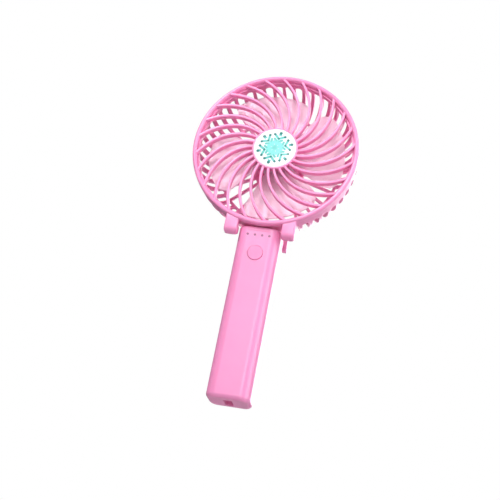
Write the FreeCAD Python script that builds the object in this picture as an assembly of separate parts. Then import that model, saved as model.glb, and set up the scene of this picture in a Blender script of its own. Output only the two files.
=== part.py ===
"""Hand-held battery fan with a folding head.

Millimetres. The origin is the middle of the handle's flat end, +Z runs along the handle to the head,
+X is to the right of someone facing the fan, and +Y points to the back, away from the front grille.
"""
import FreeCAD
import Part
import math
import os

V = FreeCAD.Vector
AXIS_X = V(1, 0, 0)
AXIS_Y = V(0, 1, 0)
AXIS_Z = V(0, 0, 1)

# ---- driving dimensions: head ----
HEAD_Z = 165.0              # height of the fan's axis
RIM_R = 53.5                # outer radius of the front rim
RIM_Y = -15.2               # front plane of the rim
RIM_BAND = 3.0              # width of the rim's face
RIM_DEPTH = 4.2             # visible depth of the rim
RIM_ROUND = 1.3
SPIGOT_DEPTH = 2.6          # ring behind the rim that sits inside the rear shell
SPIGOT_WALL = 1.5
SHELL_R = 53.0              # outer radius of the rear shell
SHELL_BACK_Y = 17.8         # flat back of the rear shell
BOWL_R = 38.0               # where the wall's curve meets the flat back
BOWL_Y = -6.0               # where the wall starts to curve in
SHELL_WALL = 2.0
SHELL_FRONT_Y = RIM_Y + RIM_DEPTH
SLOT_COUNT = 48
SLOT_PHASE_DEG = 0.75
SLOT_FRONT_Y = -5.7
SLOT_OUT_W = 5.0            # slot width on the wall
SLOT_IN_R = 41.5            # centre of the slot's round inner end
SLOT_IN_W = 3.4
BACK_RING_R = 38.3          # inside of the ring that ends the slots
BACK_DISC_R = 17.0          # solid middle behind the motor
SPOKE_COUNT = 24
SPOKE_PHASE_DEG = -3.0
SPOKE_W = 1.7

# front grille
RIB_COUNT = 26
RIB_W = 1.7
RIB_FRONT_Y = RIM_Y + 0.3
RIB_BACK_Y = RIM_Y + 4.2
RIB_SWEEP_DEG = 38.0
RIB_SWEEP_POWER = 1.2
HUB_R = 14.8
HUB_BACK_Y = RIM_Y + 4.4
BADGE_R = 13.75
BADGE_SEAT_Y = RIM_Y + 0.9
BADGE_FRONT_Y = RIM_Y - 0.35
BADGE_EDGE_ROUND = 0.5

# feet and hinge ears under the head
LUG_X = (13.9, 22.3)
LUG_Y = (-14.4, -7.0)
LUG_BOTTOM_Z = 104.2
LUG_TOP_Z = 121.0
LUG_ROUND = 2.0
PIVOT_Y = 15.3
PIVOT_Z = 110.0
EAR_X = (12.1, 14.9)
EAR_R = 3.7
PIN_R = 1.5
PIN_CLEARANCE = 0.05
KNUCKLE_R = 3.5
KNUCKLE_HALF = 11.4
WASHER_T = 0.4
WASHER_R = 3.4

# motor and impeller
MOTOR_R = 12.2
MOTOR_FRONT_Y = 4.2
MOTOR_CAP_Y = 13.4
MOTOR_BACK_Y = SHELL_BACK_Y - SHELL_WALL
NOSE_R = 3.0
NOSE_FRONT_Y = 3.2
SHAFT_R = 1.0
SHAFT_CLEARANCE = 0.04
SHAFT_Y = (-8.2, 14.6)
CUP_WALL = 1.7
CUP_FRONT_Y = 6.0
RETAINER_Y = (2.7, 4.2)
RETAINER_R = 15.4
RETAINER_BORE_R = 5.0
POST_RADIUS = 15.9          # screw posts beside the motor cup
POST_R = 2.4
BLADE_COUNT = 4
BLADE_PHASE_DEG = 13.0
BLADE_TIP_R = 44.0
BLADE_ROOT_R = 12.4
BLADE_T = 1.4
BLADE_HALF_DEG = 38.0
BLADE_Y_ROOT = (-8.6, 1.0)
BLADE_Y_TIP = (-9.0, 4.4)
ROTOR_HUB_R = 13.0
ROTOR_HUB_Y = (-9.2, 1.6)
ROTOR_HUB_WALL = 1.4
ROTOR_BOSS_R = 3.2

# ---- driving dimensions: handle ----
HANDLE_W = 27.0
HANDLE_D = 23.0
HANDLE_CORNER_R = 6.5
HANDLE_TOP_Z = 111.0
HANDLE_WALL = 1.8
TOP_ROUND = 1.5
END_ROUND = 2.6
SEAM = 0.3                  # shallow groove where the two halves meet
CAP_T = 2.2
CAP_SPIGOT = (3.0, 1.1)     # height and wall
FRONT_Y = -HANDLE_D / 2
INNER_FRONT_Y = FRONT_Y + HANDLE_WALL
CAVITY_TOP_Z = HANDLE_TOP_Z - HANDLE_WALL

# battery door, its tongues and its channel
DOOR_HALF = 9.4
DOOR_TOP_Z = 88.0
DOOR_BOTTOM_Z = 0.3
DOOR_Y = 8.95
DOOR_GAP = 0.2
TONGUE_HALF = 10.5
TONGUE_T = 0.65

# lights, button and switch
LIGHT_Z = 105.3
LIGHT_PITCH = 4.6
LIGHT_R = 0.8
PANEL_LINE_Z = 108.0
PANEL_LINE = (15.0, 0.4, 0.25)      # length, width, depth
BUTTON_Z = 93.2
BUTTON_R = 4.8
BUTTON_GAP = 0.2
BUTTON_PROUD = 0.45
BUTTON_FLANGE_R = 6.0
BUTTON_FLANGE_Y = (-9.6, -8.9)
BOARD_Y = (-5.0, -3.8)
SWITCH_SIZE = 6.0
SWITCH_FRONT_Y = -8.0
PLUNGER_R = 1.7
PLUNGER_BACK_Y = -7.2
WELL_R = 1.9
WELL_BACK_Y = -6.5

# battery and charging
CELL_R = 9.15
CELL_Y = -0.5
CELL_Z = (17.0, 82.0)
LOW_CONTACT_Z = 12.2
CONTACT_SIZE = 10.0
CONTACT_T = 0.4
LEAF = (8.0, 5.0, 0.4)      # span, width and thickness of the spring leaf
CHARGE_POCKET = (2.6, 6.0, 4.0)     # half width, half length, depth
POCKET_WALL = 0.7
SOCKET_HALF = (1.35, 3.8)
SOCKET_Z = (4.0, 9.4)
SOCKET_WALL = 0.3
CHARGE_BOARD_T = 1.2
CHARGE_BOARD_Z = (4.9, 11.9)
CHARGE_BOARD_HALF = 8.0
SCREW_TOP = (8.8, 98.5)
SCREW_LOW = (8.6, 9.0)
SCREW_ROWS = ((SCREW_TOP, HANDLE_D / 2 - 3.0), (SCREW_LOW, DOOR_Y - 0.9))
SCREW_R = 1.1
SCREW_HEAD_R = 1.9
SCREW_HEAD_T = 1.1
BOSS_R = 2.4


# ---- small helpers ----
def box(x, y, z):
    """Box between (low, high) pairs."""
    return Part.makeBox(x[1] - x[0], y[1] - y[0], z[1] - z[0], V(x[0], y[0], z[0]))


def rod(r, start, direction, length):
    return Part.makeCylinder(r, length, V(*start), direction)


def along_y(r, y, x=0.0, z=HEAD_Z):
    """Cylinder along Y between two depths."""
    return rod(r, (x, y[0], z), AXIS_Y, y[1] - y[0])


def ring_y(r_out, r_in, y, x=0.0, z=HEAD_Z):
    return along_y(r_out, y, x, z).cut(along_y(r_in, (y[0] - 1, y[1] + 1), x, z))


def fuse_all(shapes):
    return shapes[0].multiFuse(shapes[1:]).removeSplitter() if len(shapes) > 1 else shapes[0]


def mirrored_x(shape):
    return shape.mirror(V(0, 0, 0), AXIS_X)


def both_sides(shape):
    return [shape, mirrored_x(shape)]


def turned(shape, degrees):
    """Copy of a shape turned about the fan's axis, counter-clockwise seen from the front."""
    copy = shape.copy()
    copy.rotate(V(0, 0, HEAD_Z), AXIS_Y, -degrees)
    return copy


def revolved(points):
    """Solid of revolution about the fan's axis from (radius, depth) corners."""
    corners = [V(r, y, HEAD_Z) for r, y in points]
    face = Part.Face(Part.makePolygon(corners + corners[:1]))
    return face.revolve(V(0, 0, HEAD_Z), AXIS_Y, 360)


def rounded_block(half_w, half_d, corner, z):
    """Upright block with rounded vertical edges."""
    block = box((-half_w, half_w), (-half_d, half_d), z)
    upright = [e for e in block.Edges if abs(e.tangentAt(e.FirstParameter).z) > 0.9]
    return block.makeFillet(corner, upright)


def edges_at_z(shape, z):
    return [e for e in shape.Edges if abs(e.BoundBox.ZMin - z) < 1e-6 and abs(e.BoundBox.ZMax - z) < 1e-6]


# ---- head: grille, badge and rear shell ----
def rib_angle(r):
    """Sweep of a rib's centre line at radius r, in radians."""
    share = max(0.0, (r - HUB_R + RIB_W) / (RIM_R - RIM_BAND - HUB_R + RIB_W))
    return math.radians(RIB_SWEEP_DEG) * share ** RIB_SWEEP_POWER


def rib():
    """One swept rib, as a curved bar between the hub ring and the rim."""
    start_r = HUB_R - 0.8
    end_r = RIM_R - RIM_BAND + 0.8
    steps = 7
    sides = ([], [])
    for i in range(steps):
        r = start_r + (end_r - start_r) * i / (steps - 1)
        a = rib_angle(r)
        slope = r * (rib_angle(r + 0.5) - rib_angle(r - 0.5))
        heading = a + math.atan(slope)
        for side, sign in zip(sides, (-1, 1)):
            x = r * math.cos(a) - sign * RIB_W / 2 * math.sin(heading)
            z = r * math.sin(a) + sign * RIB_W / 2 * math.cos(heading)
            side.append(V(x, RIB_FRONT_Y, HEAD_Z + z))
    curves = []
    for side in sides:
        curve = Part.BSplineCurve()
        curve.interpolate(side)
        curves.append(curve.toShape())
    ends = [Part.makeLine(sides[0][k], sides[1][k]) for k in (0, -1)]
    outline = Part.Wire(Part.__sortEdges__([curves[0], ends[1], curves[1], ends[0]]))
    return Part.Face(outline).extrude(V(0, RIB_BACK_Y - RIB_FRONT_Y, 0))


def make_front_grille():
    inner_r = RIM_R - RIM_BAND
    rim = ring_y(RIM_R, inner_r, (RIM_Y, SHELL_FRONT_Y))
    front_edges = [e for e in rim.Edges if abs(e.BoundBox.YMax - RIM_Y) < 1e-6]
    rim = rim.makeFillet(RIM_ROUND, front_edges)
    spigot_r = SHELL_R - SHELL_WALL - 0.1
    spigot = ring_y(spigot_r, spigot_r - SPIGOT_WALL, (SHELL_FRONT_Y - 1.0, SHELL_FRONT_Y + SPIGOT_DEPTH))
    hub = along_y(HUB_R, (RIM_Y, HUB_BACK_Y))
    seat = along_y(BADGE_R + 0.05, (RIM_Y - 1, BADGE_SEAT_Y))
    ribs = [turned(rib(), i * 360.0 / RIB_COUNT) for i in range(RIB_COUNT)]
    return fuse_all([rim, spigot, hub] + ribs).cut(seat)


def make_hub_badge():
    disc = along_y(BADGE_R, (BADGE_FRONT_Y, BADGE_SEAT_Y))
    front = [e for e in disc.Edges if abs(e.BoundBox.YMax - BADGE_FRONT_Y) < 1e-6]
    return disc.makeFillet(BADGE_EDGE_ROUND, front)


def shell_profile(inset):
    """Revolved bowl, inset inwards by the given wall thickness."""
    r = SHELL_R - inset
    back = SHELL_BACK_Y - inset
    front = SHELL_FRONT_Y - (1.0 if inset else 0.0)
    p = [V(0, front, HEAD_Z), V(r, front, HEAD_Z), V(r, BOWL_Y, HEAD_Z)]
    p += [V(BOWL_R, back, HEAD_Z), V(0, back, HEAD_Z)]
    middle = V(BOWL_R, BOWL_Y, HEAD_Z)
    oval = Part.Ellipse(p[3], p[2], middle)
    ends = sorted(oval.parameter(corner) for corner in p[2:4])
    if ends[1] - ends[0] > math.pi:
        ends = [ends[1], ends[0] + 2 * math.pi]
    edges = [Part.makeLine(p[0], p[1]), Part.makeLine(p[1], p[2]), oval.toShape(*ends)]
    edges += [Part.makeLine(p[3], p[4]), Part.makeLine(p[4], p[0])]
    return Part.Face(Part.Wire(edges)).revolve(V(0, 0, HEAD_Z), AXIS_Y, 360)


def wedge(r, w, y):
    """Radial wedge between two radii, with its width at each, over a depth range."""
    corners = [V(r[0], y[0], HEAD_Z - w[0] / 2), V(r[1], y[0], HEAD_Z - w[1] / 2)]
    corners += [V(r[1], y[0], HEAD_Z + w[1] / 2), V(r[0], y[0], HEAD_Z + w[0] / 2)]
    return Part.Face(Part.makePolygon(corners + corners[:1])).extrude(V(0, y[1] - y[0], 0))


def wall_slot():
    """Slot from the side wall over the rounding to the back, with a round front end."""
    past = 3.0
    end_y = SLOT_FRONT_Y + SLOT_OUT_W / 2
    body = wedge((SLOT_IN_R, SHELL_R + past), (SLOT_IN_W, SLOT_OUT_W), (end_y, SHELL_BACK_Y + past))
    nose = rod(SLOT_OUT_W / 2, (SHELL_R - 8, end_y, HEAD_Z), AXIS_X, 8 + past)
    floor = rod(SLOT_IN_W / 2, (SLOT_IN_R, SHELL_BACK_Y - 5, HEAD_Z), AXIS_Y, 5 + past)
    return fuse_all([body, nose, floor])


def spoke():
    """Straight radial bar on the back, between the middle disc and the ring."""
    r = (BACK_DISC_R - 0.5, BACK_RING_R + 0.5)
    return box(r, (SHELL_BACK_Y - SHELL_WALL, SHELL_BACK_Y), (HEAD_Z - SPOKE_W / 2, HEAD_Z + SPOKE_W / 2))


def lug():
    """Foot under the right side of the head, with a rounded toe."""
    x_mid = (LUG_X[0] + LUG_X[1]) / 2
    toe_r = (LUG_Y[1] - LUG_Y[0]) / 2
    y_mid = (LUG_Y[0] + LUG_Y[1]) / 2
    block = box(LUG_X, LUG_Y, (LUG_BOTTOM_Z, LUG_TOP_Z))
    low = [e for e in block.Edges if abs(e.BoundBox.ZMax - LUG_BOTTOM_Z) < 1e-6 and e.BoundBox.YLength > 1]
    block = block.makeFillet(LUG_ROUND, low)
    toe = rod(toe_r, (x_mid - 20, y_mid, LUG_BOTTOM_Z + toe_r), AXIS_X, 40)
    column = box((x_mid - 20, x_mid + 20), LUG_Y, (LUG_BOTTOM_Z + toe_r, LUG_TOP_Z + 1))
    return block.common(toe.fuse(column))


def ear():
    """Right hinge ear, from its eye up into the shell."""
    thick = EAR_X[1] - EAR_X[0]
    x = EAR_X[0]
    eye = rod(EAR_R, (x, PIVOT_Y, PIVOT_Z), AXIS_X, thick)
    corners = [V(x, PIVOT_Y - EAR_R, PIVOT_Z), V(x, 8.0, 118.5), V(x, 13.8, 123.5)]
    corners += [V(x, PIVOT_Y + EAR_R, PIVOT_Z)]
    web = Part.Face(Part.makePolygon(corners + corners[:1])).extrude(V(thick, 0, 0))
    return eye.fuse(web)


def motor_posts():
    return [along_y(POST_R, (CUP_FRONT_Y, MOTOR_BACK_Y + 0.5), x) for x in (-POST_RADIUS, POST_RADIUS)]


def make_rear_shell():
    cavity = shell_profile(SHELL_WALL)
    wall = shell_profile(0.0).cut(cavity)
    slots = [turned(wall_slot(), SLOT_PHASE_DEG + i * 360.0 / SLOT_COUNT) for i in range(SLOT_COUNT)]
    slots.append(ring_y(BACK_RING_R, BACK_DISC_R, (SHELL_BACK_Y - 3, SHELL_BACK_Y + 3)))
    wall = wall.cut(Part.Compound(slots))
    additions = [turned(spoke(), SPOKE_PHASE_DEG + i * 360.0 / SPOKE_COUNT) for i in range(SPOKE_COUNT)]
    for piece in (lug(), ear()):
        additions += both_sides(piece)
    outside = fuse_all([wall] + additions).cut(cavity)
    under_rim = along_y(RIM_R + 0.2, (RIM_Y - 1, SHELL_FRONT_Y))
    cup = ring_y(MOTOR_R + 0.1 + CUP_WALL, MOTOR_R + 0.1, (CUP_FRONT_Y, MOTOR_BACK_Y + 0.5))
    shell = fuse_all([outside.cut(under_rim), cup] + motor_posts())
    motor_space = along_y(MOTOR_R + 0.1, (CUP_FRONT_Y - 1, MOTOR_BACK_Y))
    pin_hole = rod(PIN_R, (-30, PIVOT_Y, PIVOT_Z), AXIS_X, 60)
    pilots = [along_y(0.85, (CUP_FRONT_Y - 1, CUP_FRONT_Y + 7), x) for x in (-POST_RADIUS, POST_RADIUS)]
    return shell.cut(fuse_all([motor_space])).cut(pin_hole).cut(Part.Compound(pilots))


# ---- head: motor, retainer and impeller ----
def make_motor_can():
    can = along_y(MOTOR_R, (MOTOR_FRONT_Y, MOTOR_CAP_Y))
    front = [e for e in can.Edges if abs(e.BoundBox.YMax - MOTOR_FRONT_Y) < 1e-6]
    can = can.makeFillet(0.8, front)
    nose = along_y(NOSE_R, (NOSE_FRONT_Y, MOTOR_FRONT_Y + 1))
    inside = along_y(MOTOR_R - 0.8, (MOTOR_FRONT_Y + 1.0, MOTOR_CAP_Y + 1))
    bush_seat = along_y(NOSE_R - 0.8, (NOSE_FRONT_Y - 1, MOTOR_FRONT_Y + 2))
    return can.fuse(nose).removeSplitter().cut(inside).cut(bush_seat)


def make_motor_bush():
    return ring_y(NOSE_R - 0.8, SHAFT_R + SHAFT_CLEARANCE, (NOSE_FRONT_Y, MOTOR_FRONT_Y + 1.0))


def make_motor_end_cap():
    cap = along_y(MOTOR_R, (MOTOR_CAP_Y, MOTOR_BACK_Y))
    return cap.cut(along_y(SHAFT_R + SHAFT_CLEARANCE, (MOTOR_CAP_Y - 1, SHAFT_Y[1] + 0.2)))


def make_motor_magnets():
    """Two curved magnets inside the can."""
    y = (MOTOR_FRONT_Y + 1.6, MOTOR_CAP_Y - 0.6)
    full = ring_y(MOTOR_R - 0.8, MOTOR_R - 2.8, y)
    gap = box((-3.2, 3.2), (y[0] - 1, y[1] + 1), (HEAD_Z - 20, HEAD_Z + 20))
    return full.cut(gap)


def make_armature():
    """Wound core on the shaft, with three poles and a commutator."""
    y = (MOTOR_FRONT_Y + 2.0, MOTOR_CAP_Y - 1.6)
    core_r = MOTOR_R - 3.3
    core = along_y(core_r, y)
    valleys = [along_y(2.2, (y[0] - 1, y[1] + 1), core_r - 1.0)]
    for i in range(3):
        core = core.cut(turned(valleys[0], i * 120 + 60))
    commutator = along_y(2.4, (y[1], MOTOR_CAP_Y - 0.3))
    return core.fuse(commutator).removeSplitter().cut(along_y(SHAFT_R, (0, 20)))


def make_motor_shaft():
    return along_y(SHAFT_R, SHAFT_Y)


def make_motor_retainer():
    y = RETAINER_Y
    plate = along_y(RETAINER_R - 1.2, y)
    tabs = [along_y(POST_R, y, x) for x in (-POST_RADIUS, POST_RADIUS)]
    bridge = box((-POST_RADIUS, POST_RADIUS), y, (HEAD_Z - POST_R, HEAD_Z + POST_R))
    legs = [along_y(POST_R, (y[1] - 0.2, CUP_FRONT_Y), x) for x in (-POST_RADIUS, POST_RADIUS)]
    body = fuse_all([plate, bridge] + tabs + legs)
    screw_holes = [along_y(SCREW_R, (y[0] - 1, CUP_FRONT_Y + 1), x) for x in (-POST_RADIUS, POST_RADIUS)]
    sinks = [along_y(SCREW_HEAD_R + 0.1, (y[0] - 1, y[0] + 1.0), x) for x in (-POST_RADIUS, POST_RADIUS)]
    body = body.cut(along_y(RETAINER_BORE_R, (y[0] - 1, y[1] + 1))).cut(Part.Compound(screw_holes))
    can_space = along_y(MOTOR_R, (y[1], CUP_FRONT_Y + 1))
    return body.cut(Part.Compound(sinks)).cut(can_space)


def screw(tip, direction, length, r, head_r, head_t):
    """Self-tapping screw: shank, head and a cross recess."""
    start = V(*tip)
    way = V(*direction)
    shank = Part.makeCylinder(r, length - head_t, start, way)
    head_at = start + way * (length - head_t)
    head = Part.makeCylinder(head_r, head_t, head_at, way)
    top = start + way * length
    cross = []
    for k in (0, 1):
        bar = Part.makeBox(head_r * 1.3, head_r * 0.28, head_t * 0.6)
        bar.translate(V(-head_r * 0.65, -head_r * 0.14, -head_t * 0.6))
        bar.rotate(V(0, 0, 0), AXIS_Z, 90 * k)
        bar.Placement = FreeCAD.Placement(top, FreeCAD.Rotation(AXIS_Z, way)).multiply(bar.Placement)
        cross.append(bar)
    return shank.fuse(head).cut(cross[0]).cut(cross[1])


def make_retainer_screws():
    length = CUP_FRONT_Y + 4.5 - RETAINER_Y[0]
    tip_y = RETAINER_Y[0] + 0.1 + length
    return [screw((x, tip_y, HEAD_Z), (0, -1, 0), length, 0.85, SCREW_HEAD_R, 0.9)
            for x in (-POST_RADIUS, POST_RADIUS)]


def blade_section(distance):
    """Thin cambered blade section in the plane at a distance from the axis, for a blade along +X."""
    reach = 1.0 + distance * 0.8
    share = min(1.0, max(0.0, (distance - ROTOR_HUB_R) / 12))
    low_y, high_y = [root + (tip - root) * share for root, tip in zip(BLADE_Y_ROOT, BLADE_Y_TIP)]
    camber = 1.5
    middle_y = (low_y + high_y - BLADE_T) / 2 - camber
    low = V(distance, high_y - BLADE_T, HEAD_Z - reach)
    mid = V(distance, middle_y, HEAD_Z)
    top = V(distance, low_y, HEAD_Z + reach)
    shift = V(0, BLADE_T, 0)
    front = Part.Arc(low, mid, top).toShape()
    back = Part.Arc(top + shift, mid + shift, low + shift).toShape()
    return Part.Wire([front, Part.makeLine(top, top + shift), back, Part.makeLine(low + shift, low)])


def blade_outline():
    """Prism of the blade's petal outline seen from the front, for a blade along +X."""
    half = math.radians(BLADE_HALF_DEG)
    tip = BLADE_TIP_R
    corner = 9.0

    def at(r, angle):
        return V(r * math.cos(angle), -20, HEAD_Z + r * math.sin(angle))
    lead, trail = half, -half
    inset = corner / tip
    p = [at(BLADE_ROOT_R - 3, -half * 1.1), at(tip - corner, trail), at(tip, trail + inset)]
    p += [at(tip, lead - inset), at(tip - corner, lead), at(BLADE_ROOT_R - 3, half * 1.1)]
    edges = [Part.Arc(p[0], at(tip * 0.5, trail - 0.05), p[1]).toShape()]
    edges.append(Part.Arc(p[1], at(tip - corner * 0.26, trail + inset * 0.26), p[2]).toShape())
    edges.append(Part.Arc(p[2], at(tip, 0), p[3]).toShape())
    edges.append(Part.Arc(p[3], at(tip - corner * 0.26, lead - inset * 0.26), p[4]).toShape())
    edges.append(Part.Arc(p[4], at(tip * 0.5, lead - 0.05), p[5]).toShape())
    edges.append(Part.makeLine(p[5], p[0]))
    return Part.Face(Part.Wire(edges)).extrude(V(0, 40, 0))


def make_impeller():
    distances = [BLADE_ROOT_R - 4, ROTOR_HUB_R, ROTOR_HUB_R + 12, BLADE_TIP_R + 2]
    slab = Part.makeLoft([blade_section(d) for d in distances], True, False)
    petal = slab.common(blade_outline())
    blades = [turned(petal, BLADE_PHASE_DEG + i * 360.0 / BLADE_COUNT) for i in range(BLADE_COUNT)]
    hub = along_y(ROTOR_HUB_R, ROTOR_HUB_Y)
    front = [e for e in hub.Edges if abs(e.BoundBox.YMax - ROTOR_HUB_Y[0]) < 1e-6]
    hub = hub.makeFillet(1.2, front)
    hollow = along_y(ROTOR_HUB_R - ROTOR_HUB_WALL, (ROTOR_HUB_Y[0] + ROTOR_HUB_WALL, ROTOR_HUB_Y[1] + 3))
    boss = along_y(ROTOR_BOSS_R, (ROTOR_HUB_Y[0] + 0.5, ROTOR_HUB_Y[1] - 0.4))
    body = fuse_all([hub] + blades).cut(hollow).fuse(boss).removeSplitter()
    return body.cut(along_y(SHAFT_R, (SHAFT_Y[0], SHAFT_Y[1])))


# ---- hinge ----
def make_hinge_pin():
    pin = rod(PIN_R, (-EAR_X[1] + 0.3, PIVOT_Y, PIVOT_Z), AXIS_X, 2 * EAR_X[1] - 0.6)
    return pin.makeChamfer(0.3, [e for e in pin.Edges if e.BoundBox.XLength < 1e-6])


def make_hinge_washers():
    x = EAR_X[0] - WASHER_T
    washer = rod(WASHER_R, (x, PIVOT_Y, PIVOT_Z), AXIS_X, WASHER_T)
    washer = washer.cut(rod(PIN_R, (x - 1, PIVOT_Y, PIVOT_Z), AXIS_X, WASHER_T + 2))
    return both_sides(washer)


# ---- handle shells ----
def handle_outer():
    block = rounded_block(HANDLE_W / 2, HANDLE_D / 2, HANDLE_CORNER_R, (0, HANDLE_TOP_Z))
    block = block.makeFillet(TOP_ROUND, edges_at_z(block, HANDLE_TOP_Z))
    return block.makeFillet(END_ROUND, edges_at_z(block, 0.0))


def handle_cavity(z):
    inset = HANDLE_WALL
    return rounded_block(HANDLE_W / 2 - inset, HANDLE_D / 2 - inset, HANDLE_CORNER_R - inset, z)


def door_channel():
    """Space that the door and its tongues slide in, open at the handle's end."""
    gap = DOOR_GAP
    plate = box((-DOOR_HALF - gap, DOOR_HALF + gap), (DOOR_Y - 0.1, 20), (-1, DOOR_TOP_Z + gap))
    groove_y = (DOOR_Y - 0.1, DOOR_Y + TONGUE_T + 0.1)
    grooves = box((-TONGUE_HALF - gap, TONGUE_HALF + gap), groove_y, (-1, DOOR_TOP_Z + gap))
    return plate.fuse(grooves)


def front_half():
    return box((-30, 30), (-30, 0), (CAP_T, 200))


def rear_half():
    return box((-30, 30), (0, 30), (CAP_T, 200))


def boss_pair(place, y):
    return [along_y(BOSS_R, y, x, place[1]) for x in (-place[0], place[0])]


def bore_pair(place, r, y):
    return [along_y(r, y, x, place[1]) for x in (-place[0], place[0])]


def light_places():
    return [(i - 1.5) * LIGHT_PITCH for i in range(4)]


def make_handle_front(outer):
    shell = outer.cut(handle_cavity((-1, CAVITY_TOP_Z))).common(front_half())
    bosses = boss_pair(SCREW_TOP, (INNER_FRONT_Y - 0.5, 0)) + boss_pair(SCREW_LOW, (INNER_FRONT_Y - 0.5, 0))
    body = fuse_all([shell] + bosses).common(outer)
    cuts = bore_pair(SCREW_TOP, 0.85, (-7, 1)) + bore_pair(SCREW_LOW, 0.85, (-7, 1))
    cuts.append(along_y(BUTTON_R + BUTTON_GAP, (FRONT_Y - 2, INNER_FRONT_Y + 2), 0, BUTTON_Z))
    cuts += [along_y(LIGHT_R, (FRONT_Y - 2, INNER_FRONT_Y + 2), x, LIGHT_Z) for x in light_places()]
    length, width, depth = PANEL_LINE
    line_z = (PANEL_LINE_Z - width / 2, PANEL_LINE_Z + width / 2)
    cuts.append(box((-length / 2, length / 2), (FRONT_Y - 1, FRONT_Y + depth), line_z))
    return body.cut(Part.Compound(cuts))


def knuckle():
    """Hinge barrel behind the top of the handle, and the web that carries it."""
    barrel = rod(KNUCKLE_R, (-KNUCKLE_HALF, PIVOT_Y, PIVOT_Z), AXIS_X, 2 * KNUCKLE_HALF)
    x = -KNUCKLE_HALF
    corners = [V(x, 9.0, HANDLE_TOP_Z - TOP_ROUND), V(x, PIVOT_Y, PIVOT_Z + KNUCKLE_R - 0.3)]
    corners += [V(x, PIVOT_Y, PIVOT_Z - KNUCKLE_R), V(x, 9.0, PIVOT_Z - KNUCKLE_R - 4)]
    web = Part.Face(Part.makePolygon(corners + corners[:1])).extrude(V(2 * KNUCKLE_HALF, 0, 0))
    return barrel.fuse(web)


def make_handle_rear(outer):
    cavity = handle_cavity((-1, CAVITY_TOP_Z))
    shell = outer.fuse(knuckle()).cut(cavity).common(rear_half())
    bosses = boss_pair(SCREW_TOP, (0, HANDLE_D / 2 - 1)) + boss_pair(SCREW_LOW, (0, DOOR_Y - 0.6))
    body = fuse_all([shell] + bosses)
    rim_w, rim_d = HANDLE_W / 2 - SEAM, HANDLE_D / 2 - SEAM
    core = rounded_block(rim_w, rim_d, HANDLE_CORNER_R - SEAM, (-1, HANDLE_TOP_Z - SEAM))
    seam = box((-30, 30), (-1, SEAM), (-1, 200)).cut(core)
    cuts = [seam, door_channel()]
    cuts += bore_pair(SCREW_TOP, SCREW_R + 0.1, (-1, 20)) + bore_pair(SCREW_LOW, SCREW_R + 0.1, (-1, 20))
    for place, head_y in SCREW_ROWS:
        cuts += bore_pair(place, SCREW_HEAD_R + 0.2, (head_y - SCREW_HEAD_T - 0.05, 20))
    cuts.append(rod(PIN_R + PIN_CLEARANCE, (-30, PIVOT_Y, PIVOT_Z), AXIS_X, 60))
    for cut in cuts:
        body = body.cut(cut)
    return body


def make_end_cap(outer):
    plate = outer.common(box((-30, 30), (-30, 30), (-1, CAP_T)))
    height, wall = CAP_SPIGOT
    outer_w, outer_d = HANDLE_W / 2 - HANDLE_WALL - 0.05, HANDLE_D / 2 - HANDLE_WALL - 0.05
    ring = rounded_block(outer_w, outer_d, HANDLE_CORNER_R - HANDLE_WALL, (CAP_T - 0.5, CAP_T + height))
    inner = rounded_block(HANDLE_W / 2 - HANDLE_WALL - wall, HANDLE_D / 2 - HANDLE_WALL - wall,
                          HANDLE_CORNER_R - HANDLE_WALL - wall, (CAP_T, CAP_T + height + 1))
    half_w, half_l, depth = CHARGE_POCKET
    sleeve_w, sleeve_l = half_w + POCKET_WALL, half_l + POCKET_WALL
    sleeve = box((-sleeve_w, sleeve_w), (-sleeve_l, sleeve_l), (CAP_T - 0.5, depth + POCKET_WALL))
    body = plate.fuse(ring).cut(inner).fuse(sleeve).removeSplitter()
    pocket = box((-half_w, half_w), (-half_l, half_l), (-1, depth))
    window = box((-SOCKET_HALF[0], SOCKET_HALF[0]), (-SOCKET_HALF[1], SOCKET_HALF[1]), (-1, depth + 2))
    return body.cut(pocket).cut(window).cut(door_channel())


def make_battery_door(outer):
    z = (DOOR_BOTTOM_Z, DOOR_TOP_Z)
    plate = outer.common(box((-DOOR_HALF, DOOR_HALF), (DOOR_Y, 20), z))
    tongue = box((-TONGUE_HALF, TONGUE_HALF), (DOOR_Y, DOOR_Y + TONGUE_T), (CAP_T + 0.5, DOOR_TOP_Z))
    door = plate.fuse(tongue).removeSplitter()
    grips = []
    for i in range(5):
        z_grip = 70.0 + i * 2.2
        grips.append(box((-5, 5), (HANDLE_D / 2 - 0.45, 20), (z_grip, z_grip + 1.1)))
    return door.cut(Part.Compound(grips))


# ---- button, switch, lights and boards ----
def make_power_button():
    cap = along_y(BUTTON_R, (FRONT_Y - BUTTON_PROUD, BUTTON_FLANGE_Y[0]), 0, BUTTON_Z)
    face = [e for e in cap.Edges if abs(e.BoundBox.YMax - (FRONT_Y - BUTTON_PROUD)) < 1e-6]
    cap = cap.makeFillet(0.4, face)
    return cap.fuse(along_y(BUTTON_FLANGE_R, BUTTON_FLANGE_Y, 0, BUTTON_Z)).removeSplitter()


def make_switch_plunger():
    return along_y(PLUNGER_R, (BUTTON_FLANGE_Y[1], PLUNGER_BACK_Y), 0, BUTTON_Z)


def make_tact_switch():
    half = SWITCH_SIZE / 2
    body = box((-half, half), (SWITCH_FRONT_Y, BOARD_Y[0]), (BUTTON_Z - half, BUTTON_Z + half))
    return body.cut(along_y(WELL_R, (SWITCH_FRONT_Y - 1, WELL_BACK_Y), 0, BUTTON_Z))


def make_light_pipes():
    pipes = []
    for x in light_places():
        pipe = along_y(LIGHT_R, (FRONT_Y - 0.1, BOARD_Y[0] - 0.9), x, LIGHT_Z)
        pipes.append(pipe)
    return pipes


def make_indicator_leds():
    return [box((x - 0.8, x + 0.8), (BOARD_Y[0] - 0.7, BOARD_Y[0]), (LIGHT_Z - 0.5, LIGHT_Z + 0.5))
            for x in light_places()]


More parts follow.
